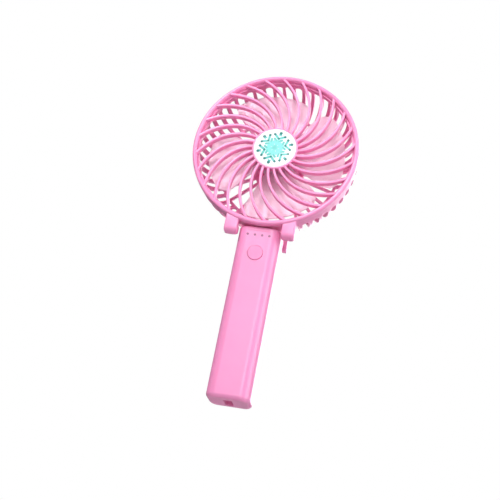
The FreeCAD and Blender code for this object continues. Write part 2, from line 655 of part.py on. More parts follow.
def make_circuit_board():
    narrow = box((-6.2, 6.2), BOARD_Y, (84.5, 102.0))
    wide = box((-9.0, 9.0), BOARD_Y, (101.9, 108.6))
    return narrow.fuse(wide).removeSplitter()


def make_board_parts():
    """Driver chip, inductor and two capacitors on the back of the main board."""
    y = BOARD_Y[1]
    chip = box((-2.5, 2.5), (y, y + 1.5), (96.0, 101.0))
    coil = box((-5.6, -1.2), (y, y + 2.4), (88.0, 92.4))
    caps = [along_y(1.6, (y, y + 4.2), 3.4, z) for z in (88.6, 93.2)]
    return [chip, coil] + caps


def make_charge_board():
    x = (-SOCKET_HALF[0] - CHARGE_BOARD_T, -SOCKET_HALF[0])
    return box(x, (-CHARGE_BOARD_HALF, CHARGE_BOARD_HALF), CHARGE_BOARD_Z)


def make_charge_socket():
    half_x, half_y = SOCKET_HALF
    shell = box((-half_x, half_x), (-half_y, half_y), SOCKET_Z)
    t = SOCKET_WALL
    hollow = box((-half_x + t, half_x - t), (-half_y + t, half_y - t), (SOCKET_Z[0] - 1, SOCKET_Z[1] - t))
    tongue = box((-0.25, 0.35), (-half_y + 1.0, half_y - 1.0), (SOCKET_Z[0] + 0.9, SOCKET_Z[1]))
    return shell.cut(hollow).fuse(tongue).removeSplitter()


# ---- battery ----
def make_battery_cell():
    z = CELL_Z
    can = Part.makeCylinder(CELL_R, z[1] - z[0] - 0.8, V(0, CELL_Y, z[0]))
    can = can.makeFillet(0.6, [e for e in can.Edges if e.BoundBox.ZLength < 1e-6])
    button = Part.makeCylinder(3.2, 1.2, V(0, CELL_Y, z[1] - 1.2))
    return can.fuse(button).removeSplitter()


def make_battery_contacts():
    half = CONTACT_SIZE / 2
    plates = []
    for z in (LOW_CONTACT_Z, CELL_Z[1]):
        plates.append(box((-half, half), (CELL_Y - half, CELL_Y + half), (z, z + CONTACT_T)))
    return plates


def make_battery_spring():
    """Bowed spring leaf between the lower contact and the cell."""
    span, width, thick = LEAF
    low = LOW_CONTACT_Z + CONTACT_T
    high = CELL_Z[0] - 0.05
    y = CELL_Y - width / 2
    upper = Part.Arc(V(-span / 2, y, low + thick), V(0, y, high), V(span / 2, y, low + thick)).toShape()
    lower = Part.Arc(V(span / 2, y, low), V(0, y, high - thick), V(-span / 2, y, low)).toShape()
    ends = [Part.makeLine(V(x, y, low), V(x, y, low + thick)) for x in (-span / 2, span / 2)]
    outline = Part.Wire(Part.__sortEdges__([upper, ends[1], lower, ends[0]]))
    return Part.Face(outline).extrude(V(0, width, 0))


def make_handle_screws():
    screws = []
    for place, head_y in SCREW_ROWS:
        for x in (-place[0], place[0]):
            length = head_y + 6.0
            screws.append(screw((x, -6.0, place[1]), (0, 1, 0), length, 0.85, SCREW_HEAD_R, SCREW_HEAD_T))
    return screws


def save(name, shape):
    if isinstance(shape, list):
        shape = Part.Compound(shape)
    for solid in shape.Solids:
        if not solid.isValid() or solid.Volume <= 0:
            raise RuntimeError(name + " holds a bad solid")
    print("%-18s solids %2d  volume %9.1f" % (name, len(shape.Solids), shape.Volume))
    shape.exportStep("parts/" + name + ".step")


def main():
    os.makedirs("parts", exist_ok=True)
    outer = handle_outer()
    save("front_grille", make_front_grille())
    save("hub_badge", make_hub_badge())
    save("rear_shell", make_rear_shell())
    save("motor_can", make_motor_can())
    save("motor_bush", make_motor_bush())
    save("motor_end_cap", make_motor_end_cap())
    save("motor_magnets", make_motor_magnets())
    save("armature", make_armature())
    save("motor_shaft", make_motor_shaft())
    save("motor_retainer", make_motor_retainer())
    save("retainer_screws", make_retainer_screws())
    save("impeller", make_impeller())
    save("hinge_pin", make_hinge_pin())
    save("hinge_washers", make_hinge_washers())
    save("handle_front", make_handle_front(outer))
    save("handle_rear", make_handle_rear(outer))
    save("end_cap", make_end_cap(outer))
    save("battery_door", make_battery_door(outer))
    save("power_button", make_power_button())
    save("switch_plunger", make_switch_plunger())
    save("tact_switch", make_tact_switch())
    save("light_pipes", make_light_pipes())
    save("indicator_leds", make_indicator_leds())
    save("circuit_board", make_circuit_board())
    save("board_parts", make_board_parts())
    save("charge_board", make_charge_board())
    save("charge_socket", make_charge_socket())
    save("battery_cell", make_battery_cell())
    save("battery_contacts", make_battery_contacts())
    save("battery_spring", make_battery_spring())
    save("handle_screws", make_handle_screws())


main()
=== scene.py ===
import math

import bmesh
import bpy
from mathutils import Matrix, Vector


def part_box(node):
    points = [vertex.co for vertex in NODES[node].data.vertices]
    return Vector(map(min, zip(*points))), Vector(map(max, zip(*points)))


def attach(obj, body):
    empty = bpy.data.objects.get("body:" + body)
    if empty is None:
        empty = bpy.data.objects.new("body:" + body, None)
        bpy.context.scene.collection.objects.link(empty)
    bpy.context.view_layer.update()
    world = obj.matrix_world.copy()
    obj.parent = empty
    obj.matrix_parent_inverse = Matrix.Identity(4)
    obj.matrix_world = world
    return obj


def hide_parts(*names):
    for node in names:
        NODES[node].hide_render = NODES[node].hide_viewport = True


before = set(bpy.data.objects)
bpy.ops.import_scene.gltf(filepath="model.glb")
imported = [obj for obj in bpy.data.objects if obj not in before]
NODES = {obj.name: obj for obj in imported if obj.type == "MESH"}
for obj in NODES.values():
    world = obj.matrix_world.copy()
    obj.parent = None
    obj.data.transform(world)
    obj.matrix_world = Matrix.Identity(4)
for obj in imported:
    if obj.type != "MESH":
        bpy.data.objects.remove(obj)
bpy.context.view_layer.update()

MM = 0.001

# ---- sizes in millimetres: the head's come from the frame, the hinge pin's axis is as built ----
fan_low, fan_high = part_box("front_grille")
HEAD_Z = (fan_low.z + fan_high.z) / 2 / MM
RIM_R = (fan_high.z - fan_low.z) / 2 / MM
RIM_Y = fan_low.y / MM
PIVOT = Vector((0.0, 15.3, 110.0))


# ---- mesh helpers: all take millimetres and return a bmesh in metres ----
def point(x, y, z):
    return Vector((x, y, z)) * MM


def rounded(corners, steps=4):
    """Closed outline from (a, b, corner radius) points, each corner turned into an arc."""
    outline = []
    count = len(corners)
    for i, (a, b, radius) in enumerate(corners):
        here = Vector((a, b))
        back = (Vector(corners[i - 1][:2]) - here).normalized()
        ahead = (Vector(corners[(i + 1) % count][:2]) - here).normalized()
        half = back.angle(ahead) / 2
        if radius <= 0 or half > math.radians(89):
            outline.append((a, b))
            continue
        reach = radius / math.tan(half)
        centre = here + (back + ahead).normalized() * (radius / math.sin(half))
        start, end = here + back * reach - centre, here + ahead * reach - centre
        turn = start.angle_signed(end)
        for k in range(steps + 1):
            spoke = start.copy()
            spoke.rotate(Matrix.Rotation(-turn * k / steps, 2))
            outline.append(tuple(centre + spoke))
    return outline


def skin(rings, close_ring=True, cap=True):
    """Quads between equally long rings of points, with the end rings closed."""
    mesh = bmesh.new()
    rows = [[mesh.verts.new(p) for p in ring] for ring in rings]
    count = len(rings[0])
    last = count if close_ring else count - 1
    for low, high in zip(rows, rows[1:]):
        for i in range(last):
            j = (i + 1) % count
            mesh.faces.new((low[i], low[j], high[j], high[i]))
    if cap:
        mesh.faces.new(rows[0][::-1])
        mesh.faces.new(rows[-1])
    return mesh


def tidy(mesh, gap=1e-6):
    """Merged and turned outwards; flat slivers on the axis go too."""
    bmesh.ops.remove_doubles(mesh, verts=mesh.verts, dist=gap)
    bmesh.ops.dissolve_degenerate(mesh, edges=mesh.edges, dist=gap)
    bmesh.ops.recalc_face_normals(mesh, faces=mesh.faces)
    return mesh


def lathe(profile, steps=144, centre=(0.0, HEAD_Z)):
    """Closed (radius, depth) outline turned about a line along Y."""
    rings = []
    for k in range(steps + 1):
        a = 2 * math.pi * k / steps
        rings.append([point(centre[0] + r * math.cos(a), y, centre[1] + r * math.sin(a)) for r, y in profile])
    return tidy(skin(rings, cap=False))


def slab(outline, x):
    """(y, z) outline pushed from one x to another."""
    return tidy(skin([[point(at, y, z) for y, z in outline] for at in x]))


def joined(meshes):
    whole = bmesh.new()
    for mesh in meshes:
        data = bpy.data.meshes.new("part")
        mesh.to_mesh(data)
        mesh.free()
        whole.from_mesh(data)
        bpy.data.meshes.remove(data)
    return whole


def mirrored(mesh):
    """The mesh and its mirror image across the middle plane."""
    other = mesh.copy()
    bmesh.ops.scale(other, vec=(-1, 1, 1), verts=other.verts)
    bmesh.ops.recalc_face_normals(other, faces=other.faces)
    return joined([mesh, other])


def placed(name, mesh, material, sharp=35):
    """Object from a bmesh, smooth except at its sharp edges."""
    data = bpy.data.meshes.new(name)
    mesh.to_mesh(data)
    mesh.free()
    return shown(name, data, material, sharp)


def shown(name, data, material, sharp=35):
    data.materials.clear()
    data.materials.append(material)
    data.polygons.foreach_set("use_smooth", [True] * len(data.polygons))
    data.set_sharp_from_angle(angle=math.radians(sharp))
    piece = bpy.data.objects.new(name, data)
    bpy.context.scene.collection.objects.link(piece)
    return piece


def settled(piece, sharp=35):
    """Modifiers turned into plain mesh; no sharp angle keeps the normals that they made."""
    bpy.context.view_layer.update()
    graph = bpy.context.evaluated_depsgraph_get()
    data = bpy.data.meshes.new_from_object(piece.evaluated_get(graph))
    piece.modifiers.clear()
    piece.data = data
    if sharp is not None:
        data.polygons.foreach_set("use_smooth", [True] * len(data.polygons))
        data.set_sharp_from_angle(angle=math.radians(sharp))
    return piece


def eased(piece, width, segments=2, limit=40):
    """Small rounding on the sharp edges."""
    bevel = piece.modifiers.new("eased edges", "BEVEL")
    bevel.width = width * MM
    bevel.segments = segments
    bevel.limit_method = "ANGLE"
    bevel.angle_limit = math.radians(limit)
    bevel.use_clamp_overlap = True
    bevel.miter_outer = "MITER_ARC"
    return piece


# ---- geometry node trees ----
class Tree:
    """Thin helper around a node tree: makes nodes, and sets or links their inputs by name or as in0, in1."""

    def __init__(self, name, kind):
        self.tree = bpy.data.node_groups.new(name, kind)
        self.inputs = self.tree.nodes.new("NodeGroupInput")
        self.outputs = self.tree.nodes.new("NodeGroupOutput")

    def socket(self, name, kind, way="INPUT", default=None):
        item = self.tree.interface.new_socket(name, in_out=way, socket_type="NodeSocket" + kind)
        if default is not None:
            item.default_value = default
        return item

    def node(self, kind, settings=None, **values):
        node = self.tree.nodes.new(kind)
        for key, value in (settings or {}).items():
            setattr(node, key, value)
        for key, value in values.items():
            self.feed(node, key, value)
        return node

    def feed(self, node, key, value):
        name = key.replace("_", " ")
        numbered = name.startswith("in") and name[2:].isdigit()
        target = node.inputs[int(name[2:])] if numbered else node.inputs[name]
        if isinstance(value, bpy.types.NodeSocket):
            self.tree.links.new(value, target)
        else:
            target.default_value = value

    def math(self, operation, a, b=0.0, clamp=False):
        node = self.node("ShaderNodeMath", {"operation": operation, "use_clamp": clamp}, in0=a, in1=b)
        return node.outputs[0]


def set_input(modifier, name, value):
    for item in modifier.node_group.interface.items_tree:
        if item.name == name and item.in_out == "INPUT":
            modifier[item.identifier] = value


def ring_tree():
    """Copies of a piece round the fan's axis, counter-clockwise seen from the front."""
    t = Tree("round_the_axis", "GeometryNodeTree")
    t.socket("Geometry", "Geometry")
    t.socket("Count", "Int", default=4)
    t.socket("First Angle", "Float", default=0.0)
    t.socket("Axis Height", "Float", default=HEAD_Z * MM)
    t.socket("Weld", "Float", default=1e-6)
    t.socket("Material", "Material")
    t.socket("Geometry", "Geometry", "OUTPUT")
    given = t.inputs.outputs
    start = t.node("ShaderNodeCombineXYZ", Z=given["Axis Height"]).outputs[0]
    line = t.node("GeometryNodeMeshLine", Count=given["Count"], Start_Location=start, Offset=(0, 0, 0))
    index = t.node("GeometryNodeInputIndex").outputs[0]
    step = t.math("DIVIDE", -2 * math.pi, given["Count"])
    turn = t.math("SUBTRACT", t.math("MULTIPLY", index, step), given["First Angle"])
    turned = t.node("ShaderNodeCombineXYZ", Y=turn).outputs[0]
    copies = t.node("GeometryNodeInstanceOnPoints", Points=line.outputs[0], Instance=given["Geometry"],
                    Rotation=turned)
    real = t.node("GeometryNodeRealizeInstances", Geometry=copies.outputs[0])
    welded = t.node("GeometryNodeMergeByDistance", Geometry=real.outputs[0], Distance=given["Weld"])
    made = t.node("GeometryNodeSetMaterial", Geometry=welded.outputs[0], Material=given["Material"])
    t.feed(t.outputs, "Geometry", made.outputs[0])
    return t.tree


def rib_tree():
    """One guard rib: a rounded bar whose line sweeps round as it goes out."""
    t = Tree("swept_rib", "GeometryNodeTree")
    t.socket("Geometry", "Geometry")
    for name, value in (("Inner Radius", 0.0), ("Outer Radius", 0.0), ("Sweep", 0.0), ("Power", 1.0),
                        ("Width", 0.0), ("Depth", 0.0), ("Rounding", 0.0), ("Middle Depth", 0.0)):
        t.socket(name, "Float", default=value)
    t.socket("Steps", "Int", default=24)
    t.socket("Material", "Material")
    t.socket("Geometry", "Geometry", "OUTPUT")
    given = t.inputs.outputs
    line = t.node("GeometryNodeCurvePrimitiveLine")
    points = t.node("GeometryNodeResampleCurve", Curve=line.outputs[0], Count=given["Steps"])
    share = t.node("GeometryNodeSplineParameter").outputs["Factor"]
    span = t.math("SUBTRACT", given["Outer Radius"], given["Inner Radius"])
    radius = t.math("ADD", given["Inner Radius"], t.math("MULTIPLY", share, span))
    angle = t.math("MULTIPLY", given["Sweep"], t.math("POWER", share, given["Power"]))
    x = t.math("MULTIPLY", radius, t.math("COSINE", angle))
    z = t.math("MULTIPLY", radius, t.math("SINE", angle))
    place = t.node("ShaderNodeCombineXYZ", X=x, Y=given["Middle Depth"], Z=z).outputs[0]
    bent = t.node("GeometryNodeSetPosition", Geometry=points.outputs[0], Position=place)
    upright = t.node("GeometryNodeSetCurveNormal", {"mode": "Z_UP"}, Curve=bent.outputs[0])
    section = t.node("GeometryNodeCurvePrimitiveQuadrilateral", Width=given["Depth"], Height=given["Width"])
    soft = t.node("GeometryNodeFilletCurve", {"mode": "POLY"}, Curve=section.outputs[0], Count=3,
                  Radius=given["Rounding"])
    bar = t.node("GeometryNodeCurveToMesh", Curve=upright.outputs[0], Profile_Curve=soft.outputs[0],
                 Fill_Caps=True)
    real = t.node("GeometryNodeRealizeInstances", Geometry=bar.outputs[0])
    made = t.node("GeometryNodeSetMaterial", Geometry=real.outputs[0], Material=given["Material"])
    t.feed(t.outputs, "Geometry", made.outputs[0])
    return t.tree


RING_TREE = ring_tree()
RIB_TREE = rib_tree()


def round_the_axis(piece, count, first_deg=0.0, sharp=35):
    """Repeats a piece that was made about the origin round the fan's axis."""
    turns = piece.modifiers.new("round the axis", "NODES")
    turns.node_group = RING_TREE
    set_input(turns, "Count", count)
    set_input(turns, "First Angle", math.radians(first_deg))
    set_input(turns, "Axis Height", HEAD_Z * MM)
    set_input(turns, "Weld", 1e-6)
    set_input(turns, "Material", piece.data.materials[0])
    return settled(piece, sharp)


# ---- shared material groups ----
def moulding_group():
    """Moulded plastic: drifting colour, uneven gloss and a fine skin."""
    t = Tree("moulded_skin", "ShaderNodeTree")
    t.socket("Colour", "Color", default=(0.8, 0.8, 0.8, 1))
    t.socket("Deep Colour", "Color", default=(0.6, 0.6, 0.6, 1))
    t.socket("Roughness", "Float", default=0.35)
    t.socket("Unevenness", "Float", default=0.08)
    t.socket("Grain Size", "Float", default=2600.0)
    t.socket("Colour", "Color", "OUTPUT")
    t.socket("Roughness", "Float", "OUTPUT")
    t.socket("Height", "Float", "OUTPUT")
    given = t.inputs.outputs
    place = t.node("ShaderNodeTexCoord").outputs["Object"]
    drift = t.node("ShaderNodeTexNoise", Vector=place, Scale=28.0, Detail=3.0, Roughness=0.55)
    clouds = t.node("ShaderNodeMapRange", Value=drift.outputs[0], From_Min=0.35, From_Max=0.72)
    flow = t.node("ShaderNodeTexNoise", Vector=place, Scale=9.0, Detail=2.0, Distortion=0.8)
    share = t.math("MULTIPLY", clouds.outputs[0], flow.outputs[0])
    mixed = t.node("ShaderNodeMix", {"data_type": "RGBA"})
    t.feed(mixed, "in0", share)
    t.feed(mixed, "in6", given["Colour"])
    t.feed(mixed, "in7", given["Deep Colour"])
    t.feed(t.outputs, "Colour", mixed.outputs[2])
    smear = t.node("ShaderNodeTexNoise", Vector=place, Scale=62.0, Detail=5.0, Roughness=0.62, Distortion=0.4)
    offset = t.math("MULTIPLY", t.math("SUBTRACT", smear.outputs[0], 0.5), given["Unevenness"])
    t.feed(t.outputs, "Roughness", t.math("ADD", given["Roughness"], t.math("MULTIPLY", offset, 2.0), True))
    grain = t.node("ShaderNodeTexVoronoi", {"feature": "SMOOTH_F1"}, Vector=place, Scale=given["Grain Size"])
    wave = t.node("ShaderNodeTexNoise", Vector=place, Scale=140.0, Detail=2.0)
    t.feed(t.outputs, "Height", t.math("ADD", t.math("MULTIPLY", grain.outputs[0], 0.35), wave.outputs[0]))
    return t.tree


def metal_group():
    """Metal: fine drawn lines along one direction, with dull patches."""
    t = Tree("drawn_metal", "ShaderNodeTree")
    t.socket("Colour", "Color", default=(0.6, 0.6, 0.6, 1))
    t.socket("Dull Colour", "Color", default=(0.4, 0.4, 0.4, 1))
    t.socket("Line Spread", "Vector", default=(900.0, 60.0, 900.0))
    t.socket("Roughness", "Float", default=0.3)
    t.socket("Colour", "Color", "OUTPUT")
    t.socket("Roughness", "Float", "OUTPUT")
    t.socket("Height", "Float", "OUTPUT")
    given = t.inputs.outputs
    place = t.node("ShaderNodeTexCoord").outputs["Object"]
    drawn = t.node("ShaderNodeVectorMath", {"operation": "MULTIPLY"}, in0=place, in1=given["Line Spread"])
    lines = t.node("ShaderNodeTexNoise", Vector=drawn.outputs[0], Scale=1.0, Detail=4.0)
    patches = t.node("ShaderNodeTexNoise", Vector=place, Scale=240.0, Detail=3.0)
    mask = t.node("ShaderNodeMapRange", Value=patches.outputs[0], From_Min=0.4, From_Max=0.7)
    mixed = t.node("ShaderNodeMix", {"data_type": "RGBA"})
    t.feed(mixed, "in0", mask.outputs[0])
    t.feed(mixed, "in6", given["Colour"])
    t.feed(mixed, "in7", given["Dull Colour"])
    t.feed(t.outputs, "Colour", mixed.outputs[2])
    rough = t.math("ADD", given["Roughness"], t.math("MULTIPLY", lines.outputs[0], 0.18), True)
    t.feed(t.outputs, "Roughness", t.math("ADD", rough, t.math("MULTIPLY", mask.outputs[0], 0.1), True))
    t.feed(t.outputs, "Height", lines.outputs[0])
    return t.tree


MOULDED = moulding_group()
DRAWN = metal_group()


def surface(name, group, inputs, settings, bump):
    """Material with a shared group feeding colour, roughness and a fine bump."""
    material = bpy.data.materials.new(name)
    material.use_nodes = True
    nodes, links = material.node_tree.nodes, material.node_tree.links
    shader = nodes["Principled BSDF"]
    for key, value in settings.items():
        shader.inputs[key].default_value = value
    skin_node = nodes.new("ShaderNodeGroup")
    skin_node.node_tree = group
    for key, value in inputs.items():
        skin_node.inputs[key].default_value = value
    links.new(skin_node.outputs["Colour"], shader.inputs["Base Color"])
    links.new(skin_node.outputs["Roughness"], shader.inputs["Roughness"])
    relief = nodes.new("ShaderNodeBump")
    relief.inputs["Strength"].default_value = bump[0]
    relief.inputs["Distance"].default_value = bump[1] * MM
    links.new(skin_node.outputs["Height"], relief.inputs["Height"])
    links.new(relief.outputs[0], shader.inputs["Normal"])
    return material


def rgb(red, green, blue):
    """Screen colour (0 to 255) as the linear colour that the shader wants."""
    def linear(c):
        c = c / 255
        return c / 12.92 if c <= 0.04045 else ((c + 0.055) / 1.055) ** 2.4
    return (linear(red), linear(green), linear(blue), 1.0)


def plastic(name, colour, deep, rough, uneven=0.08, grain=2600.0, bump=(0.12, 0.03), **settings):
    """Moulded plastic. Bump is (strength, height in millimetres); settings are the shader's own sockets."""
    given = {"Colour": colour, "Deep Colour": deep, "Roughness": rough, "Unevenness": uneven,
             "Grain Size": grain}
    return surface(name, MOULDED, given, {k.replace("_", " "): v for k, v in settings.items()}, bump)


def metal(name, colour, dull, rough, spread=(900.0, 60.0, 900.0)):
    given = {"Colour": colour, "Dull Colour": dull, "Roughness": rough, "Line Spread": spread}
    return surface(name, DRAWN, given, {"Metallic": 1.0}, (0.2, 0.02))


PINK = dict(Subsurface_Weight=0.18, Subsurface_Radius=(1.0, 0.45, 0.65), Subsurface_Scale=0.0025,
            Coat_Weight=0.12, Coat_Roughness=0.22)
PINK_SHELL = plastic("pink_shell", rgb(244, 150, 198), rgb(239, 138, 188), 0.34, **PINK)
PINK_BUTTON = plastic("pink_button", rgb(246, 142, 191), rgb(240, 130, 181), 0.30, **PINK)
PINK_INNER = plastic("pink_inner", rgb(240, 130, 182), rgb(232, 116, 170), 0.5)
BLADE_PINK = plastic("blade_pink", rgb(255, 220, 237), rgb(254, 208, 229), 0.42, Subsurface_Weight=0.5,
                     Subsurface_Radius=(1.0, 0.7, 0.85), Subsurface_Scale=0.006, Transmission_Weight=0.3,
                     IOR=1.2)
BADGE_WHITE = plastic("badge_white", rgb(246, 247, 252), rgb(236, 240, 246), 0.12, 0.03, bump=(0.05, 0.02),
                      Coat_Weight=0.6, Coat_Roughness=0.05)
PRINT_TEAL = plastic("print_teal", rgb(96, 188, 182), rgb(132, 218, 212), 0.2)
PRINT_CYAN = plastic("print_cyan", rgb(138, 228, 222), rgb(112, 208, 204), 0.2)
PRINT_DEEP = plastic("print_deep", rgb(46, 122, 118), rgb(58, 140, 134), 0.2)
MOTOR_STEEL = metal("motor_steel", (0.50, 0.51, 0.52, 1), (0.36, 0.37, 0.38, 1), 0.30)
POLISHED_STEEL = metal("polished_steel", (0.62, 0.62, 0.63, 1), (0.5, 0.5, 0.51, 1), 0.12,
                       (60.0, 900.0, 900.0))
SCREW_STEEL = metal("screw_steel", (0.48, 0.48, 0.5, 1), (0.33, 0.33, 0.35, 1), 0.25)
BRONZE = metal("bronze", (0.52, 0.31, 0.13, 1), (0.34, 0.2, 0.09, 1), 0.38)
MAGNET = plastic("magnet", rgb(62, 62, 64), rgb(42, 42, 44), 0.62, 0.12, 1400.0, (0.4, 0.05))
ARMATURE = metal("armature_core", (0.50, 0.24, 0.12, 1), (0.2, 0.18, 0.17, 1), 0.33, (900.0, 1800.0, 900.0))
BLACK_PLASTIC = plastic("black_plastic", rgb(52, 52, 54), rgb(36, 36, 38), 0.45)
NYLON = plastic("nylon", rgb(238, 236, 226), rgb(226, 222, 208), 0.42, Subsurface_Weight=0.3,
                Subsurface_Scale=0.002)
LIGHT_LENS = plastic("light_lens", rgb(196, 132, 166), rgb(170, 108, 142), 0.16, Transmission_Weight=0.3)
LED_WHITE = plastic("led_white", rgb(238, 238, 230), rgb(226, 222, 200), 0.3)
BOARD_GREEN = plastic("board_green", rgb(34, 116, 72), rgb(22, 92, 54), 0.36, 0.1, 900.0)
BOARD_PART = plastic("board_part", rgb(58, 58, 62), rgb(40, 40, 44), 0.5)
CELL_SLEEVE = plastic("cell_sleeve", rgb(92, 158, 208), rgb(76, 142, 196), 0.26, 0.06, 700.0,
                      Coat_Weight=0.3)
NICKEL = metal("nickel", (0.66, 0.62, 0.55, 1), (0.5, 0.47, 0.42, 1), 0.24)

FINISHES = {
    "motor_can": MOTOR_STEEL, "motor_bush": BRONZE, "motor_end_cap": BLACK_PLASTIC, "motor_magnets": MAGNET,
    "armature": ARMATURE, "motor_shaft": POLISHED_STEEL, "motor_retainer": PINK_INNER,
    "retainer_screws": SCREW_STEEL, "hinge_pin": POLISHED_STEEL, "hinge_washers": NYLON,
    "switch_plunger": BLACK_PLASTIC, "tact_switch": BLACK_PLASTIC, "indicator_leds": LED_WHITE,
    "circuit_board": BOARD_GREEN, "board_parts": BOARD_PART, "charge_board": BOARD_GREEN,
    "charge_socket": NICKEL, "battery_cell": CELL_SLEEVE, "battery_contacts": NICKEL,
    "battery_spring": NICKEL, "handle_screws": SCREW_STEEL,
}
for node_name, finish in FINISHES.items():
    NODES[node_name].data.materials.clear()
    NODES[node_name].data.materials.append(finish)


# ---- front grille ----
HUB_R = 14.8
RIM_INNER_R = RIM_R - 3.0
RIB_COUNT = 26
RIB_W = 1.7
RIB_DEPTH = 3.9
RIB_MIDDLE_Y = RIM_Y + 2.25
RIB_ROUNDING = 0.5
RIB_SWEEP_DEG = 38.0
RIB_SWEEP_POWER = 1.2
RIB_OVERLAP = 0.7           # how far a rib's ends run into the hub and the rim


def guard_ribs():
    piece = bpy.data.objects.new("guard_ribs", bpy.data.meshes.new("guard_ribs"))
    piece.data.materials.append(PINK_SHELL)
    bpy.context.scene.collection.objects.link(piece)
    shape = piece.modifiers.new("swept rib", "NODES")
    shape.node_group = RIB_TREE
    inner, outer = HUB_R - RIB_OVERLAP, RIM_INNER_R + RIB_OVERLAP
    for name, value in (("Inner Radius", inner * MM), ("Outer Radius", outer * MM),
                        ("Sweep", math.radians(RIB_SWEEP_DEG)), ("Power", RIB_SWEEP_POWER),
                        ("Width", RIB_W * MM), ("Depth", RIB_DEPTH * MM), ("Rounding", RIB_ROUNDING * MM),
                        ("Middle Depth", RIB_MIDDLE_Y * MM), ("Steps", 26), ("Material", PINK_SHELL)):
        set_input(shape, name, value)
    return round_the_axis(settled(piece), RIB_COUNT)


def guard_rim():
    """Round-faced ring, with a thinner one behind it that sits in the shell's mouth."""
    side_y, step_y, end_y = RIM_Y + 4.2, RIM_Y + 3.2, RIM_Y + 6.8
    plug_r, plug_inner_r = RIM_R - 2.6, RIM_R - 4.1
    corners = [(RIM_INNER_R, RIM_Y, 1.6), (RIM_R, RIM_Y, 1.35), (RIM_R, side_y, 0.3), (plug_r, side_y, 0.2),
               (plug_r, end_y, 0.3), (plug_inner_r, end_y, 0.3), (plug_inner_r, step_y, 0.3),
               (RIM_INNER_R, step_y, 0.2)]
    return lathe(rounded(corners), 192)


def guard_hub():
    """Round boss with a shallow seat for the badge and a hollow back."""
    seat_r, seat_y, back_y, wall = 13.8, RIM_Y + 0.9, RIM_Y + 4.4, 1.2
    corners = [(0, seat_y, 0), (seat_r, seat_y, 0.1), (seat_r, RIM_Y, 0.25), (HUB_R, RIM_Y, 0.45),
               (HUB_R, back_y, 0.3), (HUB_R - wall, back_y, 0.2), (HUB_R - wall, back_y - wall, 0.2),
               (0, back_y - wall, 0)]
    return lathe(rounded(corners), 120)


def make_guard():
    ribs = guard_ribs()
    whole = joined([guard_rim(), guard_hub()])
    whole.from_mesh(ribs.data)
    bpy.data.objects.remove(ribs)
    guard = placed("guard", whole, PINK_SHELL, 40)
    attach(guard, "head")
    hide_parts("front_grille")


# ---- badge with its printed snow crystal ----
BADGE_R = 13.75
BADGE_EDGE_Y = RIM_Y + 0.05
BADGE_BACK_Y = RIM_Y + 0.88
BADGE_RISE = 0.36
CRYSTAL_ARMS = 6
CRYSTAL_TURN_DEG = 18


def badge_front(r):
    """Depth of the domed face at a radius."""
    return BADGE_EDGE_Y - BADGE_RISE * (1 - (r / BADGE_R) ** 2)


def make_badge():
    radii = [BADGE_R * k / 12 for k in range(12)]
    face = [(r, badge_front(r)) for r in radii]
    edge = [(BADGE_R - 0.12, BADGE_EDGE_Y), (BADGE_R, BADGE_EDGE_Y + 0.14), (BADGE_R, BADGE_BACK_Y),
            (0, BADGE_BACK_Y)]
    badge = placed("badge", lathe(face + edge, 96), BADGE_WHITE, 50)
    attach(badge, "head")
    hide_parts("hub_badge")


def print_patch(outline, lift):
    """Thin flat print on the dome, from an (x, z) outline about the axis."""
    def on_dome(x, z, up):
        return point(x, badge_front(math.hypot(x, z)) - up, z)
    return tidy(skin([[on_dome(x, z, -0.05) for x, z in outline], [on_dome(x, z, lift) for x, z in outline]]))


def bar(start, end, width, taper=1.0):
    """Outline of a bar with round ends, its far end's width scaled by the taper."""
    a, b = Vector(start), Vector(end)
    way, quarter = math.atan2(b.y - a.y, b.x - a.x), math.pi / 2
    outline = []
    for centre, first, half in ((b, way - quarter, width * taper / 2), (a, way + quarter, width / 2)):
        for k in range(5):
            angle = first + math.pi * k / 4
            outline.append((centre.x + half * math.cos(angle), centre.y + half * math.sin(angle)))
    return outline


def crystal_piece(name, outlines, lift, material):
    piece = placed(name, joined([print_patch(o, lift) for o in outlines]), material, 30)
    round_the_axis(piece, CRYSTAL_ARMS, CRYSTAL_TURN_DEG, 30)
    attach(piece, "head")


def make_crystal():
    """Six arms, each with side twigs, round dots near its tip and a small star in the middle."""
    def twigs(at, length, spread):
        """Two short bars leaning outwards from a place on the arm."""
        tips = [(at + length * math.cos(spread), s * length * math.sin(spread)) for s in (1, -1)]
        return [bar((at, 0), tip, 1.55) for tip in tips]
    slant, star_slant = math.radians(52), math.radians(38)
    stems = [bar((2.0, 0), (9.8, 0), 2.0)] + twigs(4.2, 3.2, slant) + twigs(6.6, 3.8, slant)
    dot_places = ((11.0, 0, 2.1), (9.2, 3.5, 1.8), (9.2, -3.5, 1.8), (6.9, 0, 1.4))
    dots = [bar((r, z), (r + 0.01, z), width) for r, z, width in dot_places]
    star = [bar((0.0, 0), (5.6, 0), 2.2, 0.5)] + twigs(2.0, 3.0, star_slant)
    crystal_piece("crystal_arms", stems, 0.02, PRINT_TEAL)
    crystal_piece("crystal_dots", dots, 0.03, PRINT_DEEP)
    crystal_piece("crystal_star", star, 0.04, PRINT_CYAN)


# ---- rear shell ----
SHELL_R = 53.0
SHELL_FRONT = RIM_Y + 4.2
SHELL_BACK = 17.8
BOWL_R = 38.0
BOWL_Y = -6.0
SHELL_WALL = 2.0
SECTORS = 24
PITCH = 2 * math.pi / SECTORS
SLOT_START_Y = -5.7
SLOT_W = 5.0
SLOT_END_R = 39.8
SLOT_END_W = 3.4
RING_R = 38.3
RING_MIDDLE_R = 39.1
DISC_R = 17.0
SPOKE_W = 1.7
SPOKE_TURN_DEG = -3.0


def bowl_point(share):
    """(radius, depth) on the quarter oval between the straight wall and the flat back."""
    a = share * math.pi / 2
    return BOWL_R + (SHELL_R - BOWL_R) * math.cos(a), BOWL_Y + (SHELL_BACK - BOWL_Y) * math.sin(a)


